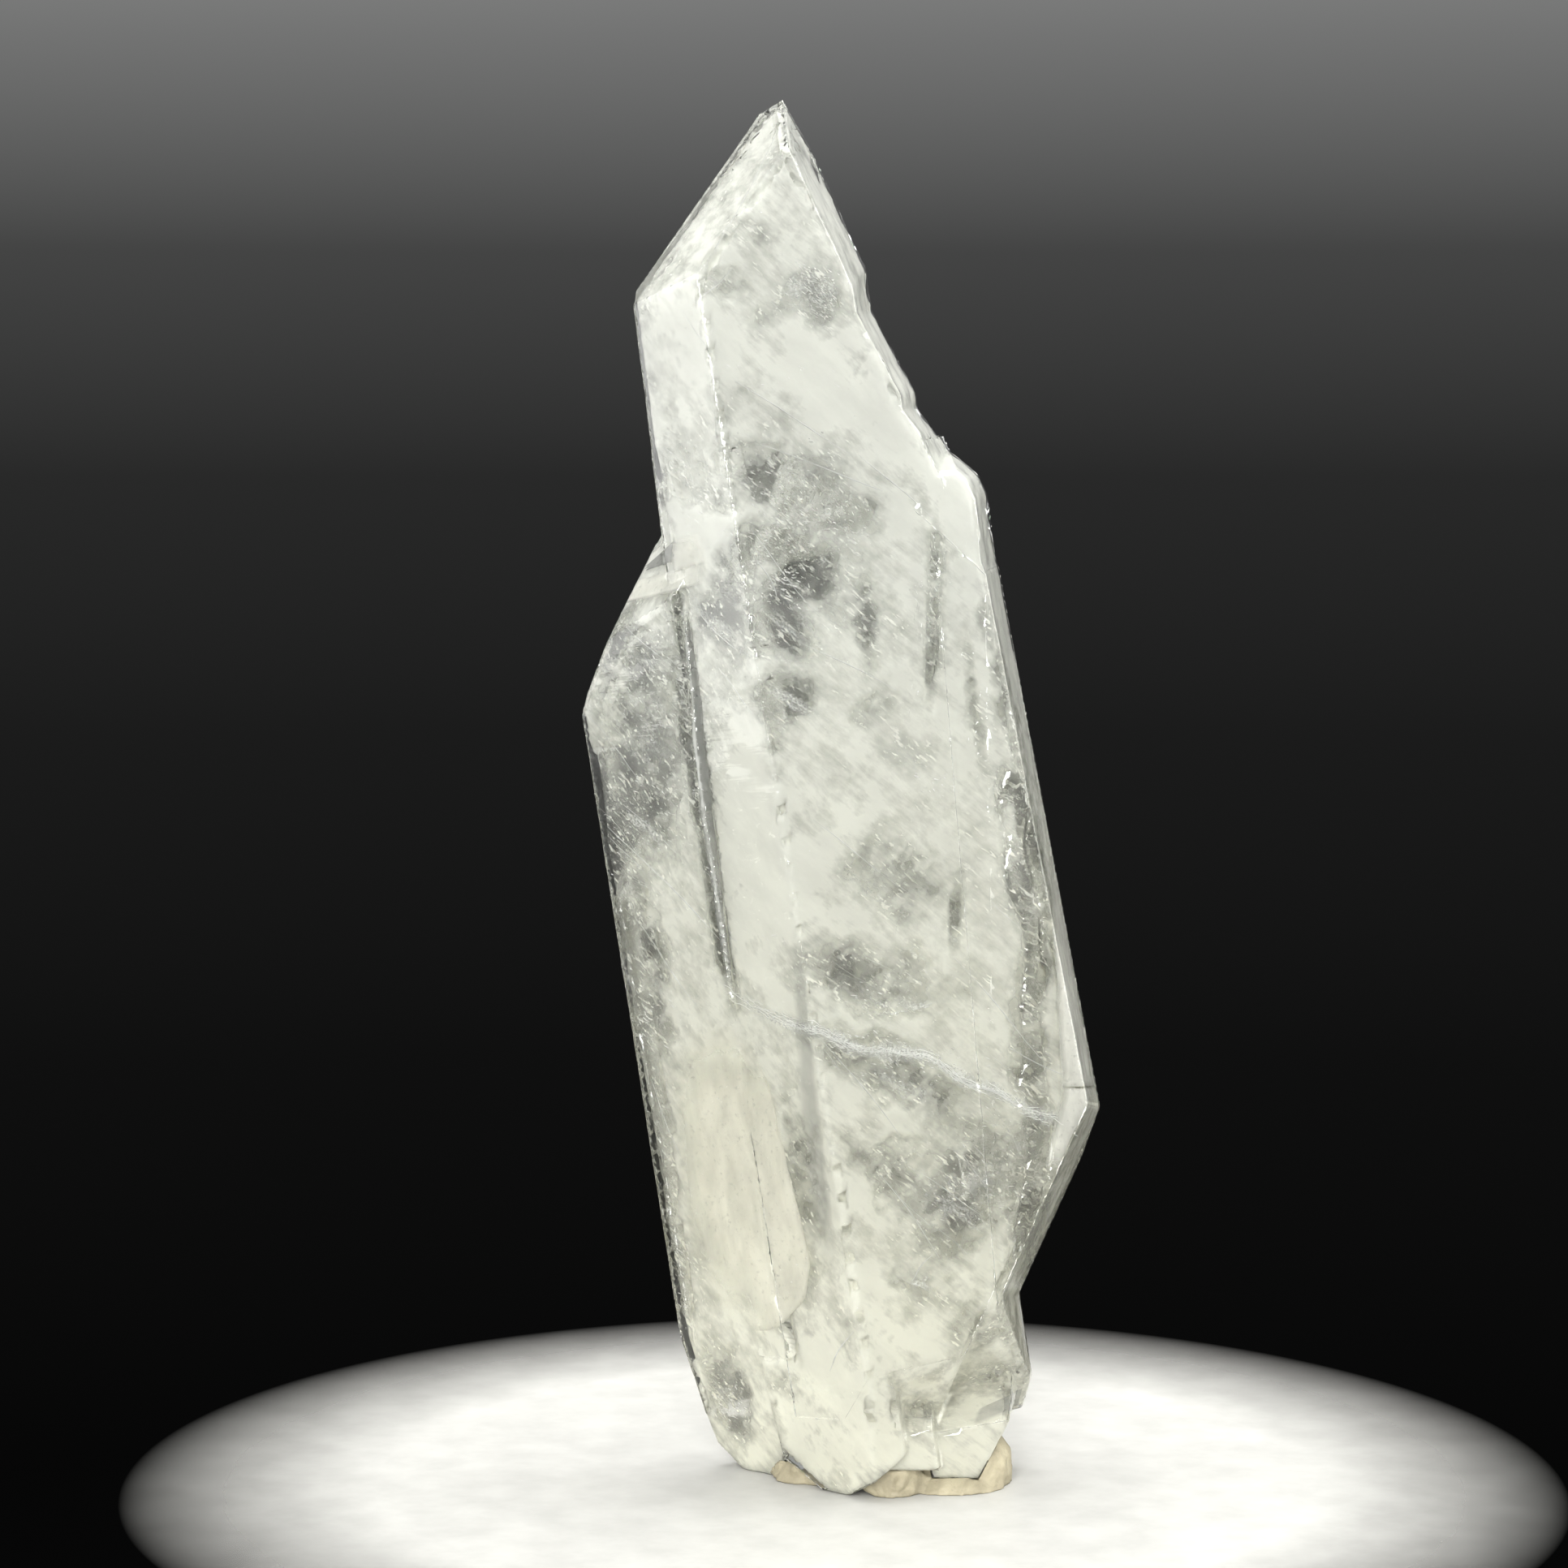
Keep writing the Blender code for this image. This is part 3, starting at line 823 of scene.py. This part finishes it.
def thread_ribbon():
    """The soft white film along the faden."""
    body = bmesh.new()
    layer = body.verts.layers.float.new("haze")
    path = thread_places()
    rows = []
    for k, place in enumerate(path):
        row = []
        wave = 0.25 * waves(k * 0.09, 3.0, 0.0)
        reach = 0.62 + 0.35 * waves(k * 0.11, 8.0, 2.0)
        for j in range(-6, 7):
            t = j / 6
            spot = place + (W_AXIS * (t * reach + wave) + V_AXIS * (0.07 + 0.03 * t)) * MM
            vert = body.verts.new(spot)
            ends = min(1.0, 5 * k / len(path), 5 * (len(path) - 1 - k) / len(path))
            vert[layer] = 1.05 * ends * max(0.0, 1.0 - abs(t)) ** 1.1
            row.append(vert)
        rows.append(row)
    for one, two in zip(rows, rows[1:]):
        for j in range(12):
            if all(depth_inside(v.co) > 0.05 for v in (one[j], one[j + 1], two[j], two[j + 1])):
                body.faces.new((one[j], one[j + 1], two[j + 1], two[j]))
    loose = [v for v in body.verts if not v.link_faces]
    bmesh.ops.delete(body, geom=loose, context="VERTS")
    return new_object(body, "faden_film")


# Fine straight needles and healed lines near the surface: start pixel, end pixel, radius in mm
NEEDLES = [
    ((716, 872), (795, 968), 0.03), ((740, 1008), (888, 1158), 0.045), ((752, 1030), (800, 1085), 0.03),
    ((905, 470), (1050, 560), 0.03), ((930, 545), (1090, 605), 0.035), ((1060, 560), (1150, 640), 0.03),
    ((925, 655), (1010, 760), 0.03), ((935, 690), (960, 740), 0.04), ((985, 790), (1105, 850), 0.03),
    ((850, 745), (905, 800), 0.035), ((760, 985), (850, 1065), 0.025),
    ((1000, 1010), (1120, 1100), 0.025), ((1010, 1275), (1110, 1400), 0.03),
    ((1240, 1290), (1320, 1330), 0.035), ((1080, 1440), (1160, 1550), 0.03),
    ((920, 1480), (975, 1540), 0.035), ((1120, 1580), (1150, 1545), 0.03), ((880, 820), (930, 880), 0.03),
    ((770, 770), (835, 830), 0.025), ((1125, 1440), (1215, 1500), 0.025),
    ((1150, 470), (1108, 440), 0.03), ((860, 370), (905, 330), 0.025), ((965, 150), (1045, 300), 0.03),
    ((780, 1130), (860, 1240), 0.03), ((800, 1330), (850, 1450), 0.025),
    ((1020, 1690), (1050, 1640), 0.035), ((1175, 1180), (1290, 1310), 0.03),
    ((966, 152), (880, 306), 0.035),
]


NEEDLE_STEPS = 14


def needles():
    """The needles of the front, and finer ones strewn below it."""
    body = bmesh.new()
    draw = random.Random(23)

    def one(start, end, thick, depth):
        places, radii = [], []
        for k in range(NEEDLE_STEPS + 1):
            t = k / NEEDLE_STEPS
            px = start[0] + (end[0] - start[0]) * t + 2.5 * math.sin(t * 5.0 + start[0])
            py = start[1] + (end[1] - start[1]) * t
            place = under_skin(px, py, depth)
            if place is None or depth_inside(place) < 0.06:
                continue
            places.append(place)
            radii.append(thick * (0.35 + 0.65 * math.sin(math.pi * t)) * draw.uniform(0.7, 1.1))
        if len(places) > 4 and all((a - b).length < 2.5 * MM for a, b in zip(places, places[1:])):
            tube(body, places, radii, 5)

    for start, end, thick in NEEDLES:
        one(start, end, thick, draw.uniform(0.14, 0.26))
    for _ in range(90):
        px, py = draw.uniform(730, 1330), draw.uniform(200, 1760)
        slant = math.radians(draw.uniform(30, 62))
        long = draw.uniform(25, 90)
        end = (px + long * math.cos(slant), py + long * math.sin(slant))
        if under_skin(px, py, 1.0) is not None and under_skin(*end, 1.0) is not None:
            one((px, py), end, draw.uniform(0.012, 0.026), draw.uniform(0.3, 1.6))
    return new_object(body, "needle_streaks")


# Places where bright flakes crowd: pixel, spread in pixels, count
FLAKE_SPOTS = [
    (980, 1264, 16, 12), (1040, 1284, 22, 26), (1100, 1297, 22, 26), (1160, 1312, 22, 22),
    (1230, 1348, 26, 22), (1000, 350, 34, 90), (1010, 375, 20, 60), (860, 628, 26, 26),
    (1150, 965, 28, 36), (945, 630, 60, 46), (1040, 650, 40, 26), (960, 720, 34, 40), (800, 1000, 60, 40),
    (800, 840, 60, 40), (1200, 1330, 60, 40), (1080, 1300, 60, 26), (1190, 1460, 50, 40),
    (880, 1370, 40, 22), (950, 1150, 20, 10), (960, 1560, 40, 18), (1100, 1230, 50, 20),
    (790, 1250, 40, 40), (830, 1560, 30, 24), (1180, 1740, 40, 22), (900, 1730, 30, 16),
    (1140, 720, 30, 20), (900, 450, 60, 20), (1000, 520, 70, 24),
]


def flakes():
    """Small glints: thin crooked splinters that lie in the quartz, most of them along the healed cracks."""
    body = bmesh.new()
    draw = random.Random(42)
    slant = math.radians(38)
    along = U_AXIS * math.cos(slant) - W_AXIS * math.sin(slant)

    def one(place, size):
        if place is None or depth_inside(place) < size + 0.06:
            return
        way = (along + Vector((draw.gauss(0, 0.3), draw.gauss(0, 0.35), draw.gauss(0, 0.3)))).normalized()
        side = way.cross(Vector((draw.uniform(-1, 1), draw.uniform(-1, 1), draw.uniform(-1, 1)))).normalized()
        up = way.cross(side)
        long = draw.uniform(1.0, 3.4)
        count = draw.choice((4, 5, 6))
        rim = []
        for k in range(count):
            a = 2 * math.pi * k / count
            r = size * draw.uniform(0.5, 1.0)
            rim.append(way * (r * math.cos(a) * long) + side * (r * math.sin(a) * 0.6))
        lift = up * size * 0.12
        top = [body.verts.new(place + (p + lift) * MM) for p in rim]
        low = [body.verts.new(place + (p - lift) * MM) for p in rim]
        body.faces.new(top)
        body.faces.new(list(reversed(low)))
        for k in range(count):
            body.faces.new((top[k], low[k], low[(k + 1) % count], top[(k + 1) % count]))

    for px, py, spread, count in FLAKE_SPOTS:
        for _ in range(count * 2):
            pixel = draw.gauss(px, spread * 0.5), draw.gauss(py, spread * 0.5)
            place = under_skin(*pixel, draw.uniform(0.12, 0.8))
            one(place, draw.uniform(0.02, 0.085))
    for _ in range(3200):
        place = from_crystal(draw.uniform(-7.5, 17.0), draw.uniform(-6.5, 6.5), draw.uniform(1.0, 70.0))
        size = draw.uniform(0.015, 0.05)
        if haze_at(place, 0.9) < 0.15:
            one(place, size)
    body.normal_update()
    return new_object(body, "glint_flakes", smooth=False)


# The smooth cream body low on the left: its outline and its middle in pixels
LENS_OUTLINE = [(905, 1262), (940, 1320), (960, 1400), (985, 1500), (997, 1560), (985, 1610), (940, 1640),
                (880, 1610), (845, 1520), (828, 1400), (832, 1310), (860, 1266), (905, 1262)]
LENS_MIDDLE = (915, 1445, 0)


def cream_lens():
    """The smooth cream body: an egg-shaped lens under the skin, crisp only on its right side."""
    body = bmesh.new()
    layer_haze = body.verts.layers.float.new("haze")
    outline = smooth_path(LENS_OUTLINE, 97)[:-1]
    middle = Vector(LENS_MIDDLE)
    rings = 24
    sides = {}
    for layer in (0, 1):
        for r in range(rings + 1):
            t = r / rings
            for k, rim in enumerate(outline):
                if r == 0 and k:
                    continue
                p = middle.lerp(rim, t)
                ragged = waves(rim.x * 0.03, rim.y * 0.03, 4.0)
                p += (rim - middle).normalized() * 5.0 * ragged * t
                round_off = 1.0 - math.sqrt(max(0.0, 1.0 - t ** 4))
                lump = 0.12 * waves(p.x * 0.02, p.y * 0.02, 1.0)
                depth = 0.13 + (0.1 * round_off + 0.2 * lump if layer == 0 else 0.9 - 0.5 * round_off - lump)
                vert = body.verts.new(under_skin(p.x, p.y, depth))
                crisp = clamp((rim.x - 925.0) / 30.0)
                crisp *= clamp((rim.y - 1290.0) / 60.0)
                soft = clamp((1.0 - t) / (0.45 + 0.2 * ragged))
                vert[layer_haze] = (0.75 + 0.2 * lump) * (soft + (1.0 - soft) * crisp)
                sides[layer, r, k] = vert
    count = len(outline)
    for layer in (0, 1):
        for k in range(count):
            n = (k + 1) % count
            face = (sides[layer, 0, 0], sides[layer, 1, k], sides[layer, 1, n])
            body.faces.new(face if layer == 0 else tuple(reversed(face)))
            for r in range(1, rings):
                quad = (sides[layer, r, k], sides[layer, r + 1, k],
                        sides[layer, r + 1, n], sides[layer, r, n])
                body.faces.new(quad if layer == 0 else tuple(reversed(quad)))
    for k in range(count):
        n = (k + 1) % count
        body.faces.new((sides[0, rings, k], sides[1, rings, k], sides[1, rings, n], sides[0, rings, n]))
    bmesh.ops.recalc_face_normals(body, faces=body.faces)
    return new_object(body, "cream_lens")


# Flat bodies just under the skin, pale growths and dark bands of painted shade: corners in pixels
# (top left, top right, low right, low left), how much of the left, right, top and low side fades, strength
PALE_PLATES = [
    ([(829, 662), (862, 655), (868, 694), (829, 706)], (0.0, 0.4, 0.4, 0.0), 0.6),
    ([(782, 716), (868, 692), (870, 720), (768, 745)], (0.0, 0.25, 0.0, 0.2), 0.75),
    ([(1289, 1000), (1308, 1000), (1350, 1338), (1306, 1340)], (0.25, 0.0, 0.3, 0.0), 0.88),
    ([(1306, 1340), (1348, 1342), (1302, 1440), (1288, 1440)], (0.25, 0.0, 0.0, 0.3), 0.82),
]
# Painted shade: dark grey sheets under the skin along an edge step, in the gap between the crystals, in the
# notch and low near the foot
PAINTED_SHADE_PLATES = [
    ([(973, 1140), (985, 1140), (1007, 1340), (981, 1340)], (0.4, 0.1, 0.4, 0.0), 0.2),
    ([(981, 1340), (1007, 1340), (1036, 1585), (1014, 1585)], (0.4, 0.1, 0.0, 0.4), 0.2),
    ([(828, 668), (829, 668), (826, 692), (785, 707)], (0.0, 0.0, 0.0, 0.0), 0.75),
    ([(844, 762), (852, 762), (878, 1000), (862, 1000)], (0.0, 0.0, 0.1, 0.0), 0.6),
    ([(862, 1000), (878, 1000), (904, 1222), (897, 1222)], (0.0, 0.0, 0.0, 0.2), 0.5),
    ([(1205, 1736), (1260, 1711), (1252, 1738), (1196, 1758)], (0.1, 0.0, 0.0, 0.1), 0.35),
]


def plates(name, rows, depth, thick):
    """Thin flat bodies just under the skin, fading out at their soft sides."""
    body = bmesh.new()
    layer = body.verts.layers.float.new("haze")
    for corners, fades, strength in rows:
        one, two, three, four = (Vector((*corner, 0.0)) for corner in corners)
        cols = max(3, int((three - four).length / 5.0))
        steps = max(4, int((four - one).length / 6.0))
        grid = {}
        for side in (0, 1):
            for i in range(steps + 1):
                for j in range(cols + 1):
                    s, t = j / cols, i / steps
                    p = one.lerp(two, s).lerp(four.lerp(three, s), t)
                    p.x += 2.5 * waves(p.x * 0.01, p.y * 0.035, 6.0)
                    place = under_skin(p.x, p.y, depth + side * thick)
                    if place is None:
                        continue
                    vert = body.verts.new(place)
                    fade = 1.0
                    for reach, away in zip(fades, (s, 1.0 - s, t, 1.0 - t)):
                        if reach:
                            fade *= min(1.0, away / reach)
                    vert[layer] = strength * fade
                    grid[side, i, j] = vert

        def quad(*keys):
            corners = [grid.get(key) for key in keys]
            if all(corners):
                body.faces.new(corners)

        for i in range(steps):
            for j in range(cols):
                quad((0, i, j), (0, i + 1, j), (0, i + 1, j + 1), (0, i, j + 1))
                quad((1, i, j), (1, i, j + 1), (1, i + 1, j + 1), (1, i + 1, j))
            quad((0, i, 0), (1, i, 0), (1, i + 1, 0), (0, i + 1, 0))
            quad((0, i, cols), (0, i + 1, cols), (1, i + 1, cols), (1, i, cols))
        for j in range(cols):
            quad((0, 0, j), (0, 0, j + 1), (1, 0, j + 1), (1, 0, j))
            quad((0, steps, j), (1, steps, j), (1, steps, j + 1), (0, steps, j + 1))
    loose = [vert for vert in body.verts if not vert.link_faces]
    bmesh.ops.delete(body, geom=loose, context="VERTS")
    return new_object(body, name)


# How near the putty must be to the crystal, in mm, to be pressed against it
TOUCH_REACH = 0.9


def putty():
    """The putty: pressed lumps with finger hollows, a rolled swirl in front, and squeezed rims."""
    body = read_node("mounting_putty")
    least = [min(vert.co[k] for vert in body.verts) for k in range(3)]
    most = [max(vert.co[k] for vert in body.verts) for k in range(3)]
    body.free()
    fresh = remeshed("mounting_putty", 0.13)
    fresh.normal_update()
    swirl = from_crystal(3.1, -4.6, 0.35)
    for vert in fresh.verts:
        spot = vert.co / MM
        lump = abs(noise.noise(spot * 0.8 + Vector((2, 7, 1)))) * 0.16
        fine = abs(noise.noise(spot * 2.6)) * 0.07
        away = (vert.co - swirl) / MM
        far = math.hypot(away.x, away.z)
        coil = 0.0
        if far < 1.5 and spot.y < -2.0:
            curl = 0.5 + 0.5 * math.sin(far * 8.5 - math.atan2(away.z, away.x))
            coil = 0.3 * curl * (1.0 - far / 1.5) ** 0.5
        crumb = 0.12 * max(0.0, noise.noise(spot * 1.7 + Vector((5, 5, 5))))
        low = min(1.0, spot.z / 0.3)
        touch, _, _, away = SKIN.find_nearest(vert.co)
        free = min(1.0, away / (0.8 * MM))
        vert.co -= vert.normal * (lump + fine + coil + crumb) * MM * low * free
        if 1e-7 < away < TOUCH_REACH * MM:
            fade = min(1.0, (TOUCH_REACH * MM - away) / (0.45 * MM))
            vert.co += (touch - vert.co).normalized() * (min(away, 0.4 * MM) + 0.05 * MM) * fade
        for k in range(3):
            vert.co[k] = max(least[k], min(most[k], vert.co[k]))
    return new_object(fresh, "putty_seat")


FLOOR_DROP = 0.02 * MM
FLOOR_RADIUS = 70.0 * MM


def floor():
    """A flat disc under the crystal, in rings."""
    body = bmesh.new()
    rings, spokes = 40, 96
    last = None
    centre = body.verts.new((0, 0, -FLOOR_DROP))
    for r in range(1, rings + 1):
        reach = FLOOR_RADIUS * (r / rings) ** 2
        ring = []
        for k in range(spokes):
            turn = 2 * math.pi * k / spokes
            ring.append(body.verts.new((reach * math.cos(turn), reach * math.sin(turn), -FLOOR_DROP)))
        for k in range(spokes):
            n = (k + 1) % spokes
            corners = (centre, ring[k], ring[n]) if last is None else (last[k], ring[k], ring[n], last[n])
            body.faces.new(corners)
        last = ring
    return new_object(body, "floor")


LIGHT_AIM = (0.0, 0.0, 0.04)


def area_light(name, place, size, power, colour):
    data = bpy.data.lights.new(name, "AREA")
    data.shape = "RECTANGLE"
    data.size, data.size_y = size
    data.energy = power
    data.color = colour
    lamp = bpy.data.objects.new(name, data)
    lamp.location = place
    lamp.rotation_euler = (Vector(LIGHT_AIM) - Vector(place)).to_track_quat("-Z", "Y").to_euler()
    bpy.context.scene.collection.objects.link(lamp)


def world():
    """A dark studio: a soft grey glow high up, black low down."""
    scene = bpy.context.scene
    scene.world = bpy.data.worlds.new("studio")
    scene.world.use_nodes = True
    tree = scene.world.node_tree
    back = tree.nodes["Background"]
    where = tree.nodes.new("ShaderNodeTexCoord")
    split = tree.nodes.new("ShaderNodeSeparateXYZ")
    tree.links.new(where.outputs["Generated"], split.inputs[0])
    glow = tree.nodes.new("ShaderNodeMapRange")
    glow.inputs["From Min"].default_value = -0.25
    glow.inputs["From Max"].default_value = 0.15
    tree.links.new(split.outputs["Z"], glow.inputs["Value"])
    ramp = tree.nodes.new("ShaderNodeValToRGB")
    stops = ((0.0, 0.002), (0.24, 0.005), (0.44, 0.011), (0.6, 0.022),
             (0.74, 0.058), (0.87, 0.17), (1.0, 0.3))
    for k, (at, level) in enumerate(stops):
        stop = ramp.color_ramp.elements[k] if k < 2 else ramp.color_ramp.elements.new(at)
        stop.position = at
        stop.color = (level, level * 1.01, level * 1.0, 1.0)
    tree.links.new(glow.outputs["Result"], ramp.inputs["Fac"])
    tree.links.new(ramp.outputs["Color"], back.inputs["Color"])
    back.inputs["Strength"].default_value = 1.0


def camera():
    data = bpy.data.cameras.new("photo_camera")
    data.sensor_width = 36.0
    data.lens = FOCAL * data.sensor_width / PHOTO_SIDE
    data.clip_start = 0.001
    data.clip_end = 10.0
    eye = bpy.data.objects.new("photo_camera", data)
    eye.location = EYE * MM
    eye.rotation_euler = (math.radians(90) - PITCH, 0.0, 0.0)
    bpy.context.scene.collection.objects.link(eye)
    bpy.context.scene.camera = eye


def settle(thing, material, stands_for=None):
    thing.data.materials.clear()
    thing.data.materials.append(material)
    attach(thing, "root")
    if stands_for:
        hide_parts(stands_for)


shell, SHELL_TREE = crystal_shell()
settle(shell, clear_quartz(), "quartz_crystal")
settle(milky_core("milky_growth", 0.25, 0.6, 0.72, 0.25, 3.0, 0.3, True),
       milk("milky_quartz", (0.94, 0.95, 0.885), (0.92, 0.915, 0.8), 0.5, 0.86))
settle(milky_core("inner_cloud", 1.3, 1.2, 0.95, 0.27, 17.0, 0.5, False),
       milk("inner_cloud", (0.93, 0.94, 0.88), (0.91, 0.905, 0.79), 0.45, 0.97, 0.8))
settle(veils(), veil_material("bubble_veil", (0.97, 0.98, 0.96), 700.0, 0.42, 0.62, 0.35))
settle(faden_thread(), bright_material("thread_white", (0.97, 0.98, 0.95), 0.5))
settle(thread_ribbon(), veil_material("faden_film", (0.97, 0.98, 0.95), 900.0, 0.3, 0.5, 0.4))
settle(needles(), bright_material("needle_white", (0.95, 0.96, 0.95), 0.4, 0.75))
settle(flakes(), bright_material("glint_white", (0.98, 0.98, 0.96), 0.3))
settle(cream_lens(), plate_material("cream_quartz", (0.985, 0.97, 0.85)))
settle(plates("pale_facets", PALE_PLATES, 0.1, 0.12),
       plate_material("pale_quartz", (0.93, 0.93, 0.86)))
# Painted shade: dark grey sheets just under the skin where the faces fall into shade
settle(plates("painted_shade_bands", PAINTED_SHADE_PLATES, 0.07, 0.1),
       plate_material("painted_shade_grey", (0.42, 0.425, 0.4)))
settle(putty(), putty_material(), "mounting_putty")

ground = floor()
ground.data.materials.append(floor_material())

area_light("overhead", (0.02, 0.05, 0.34), (0.3, 0.3), 2.2, (1.0, 0.995, 0.98))
area_light("front_fill", (-0.05, -0.42, 0.16), (0.24, 0.24), 4.2, (1.0, 1.0, 0.99))
area_light("left_panel", (-0.34, -0.06, 0.12), (0.26, 0.34), 0.8, (1.0, 1.0, 0.98))
area_light("right_panel", (0.34, 0.02, 0.14), (0.26, 0.34), 1.2, (1.0, 1.0, 0.98))
world()
camera()

scene = bpy.context.scene
scene.view_settings.view_transform = "Standard"
scene.cycles.max_bounces = 24
scene.cycles.transmission_bounces = 20
scene.cycles.transparent_max_bounces = 32
scene.cycles.diffuse_bounces = 5
scene.cycles.glossy_bounces = 8
scene.cycles.sample_clamp_indirect = 6.0
scene.cycles.blur_glossy = 0.5
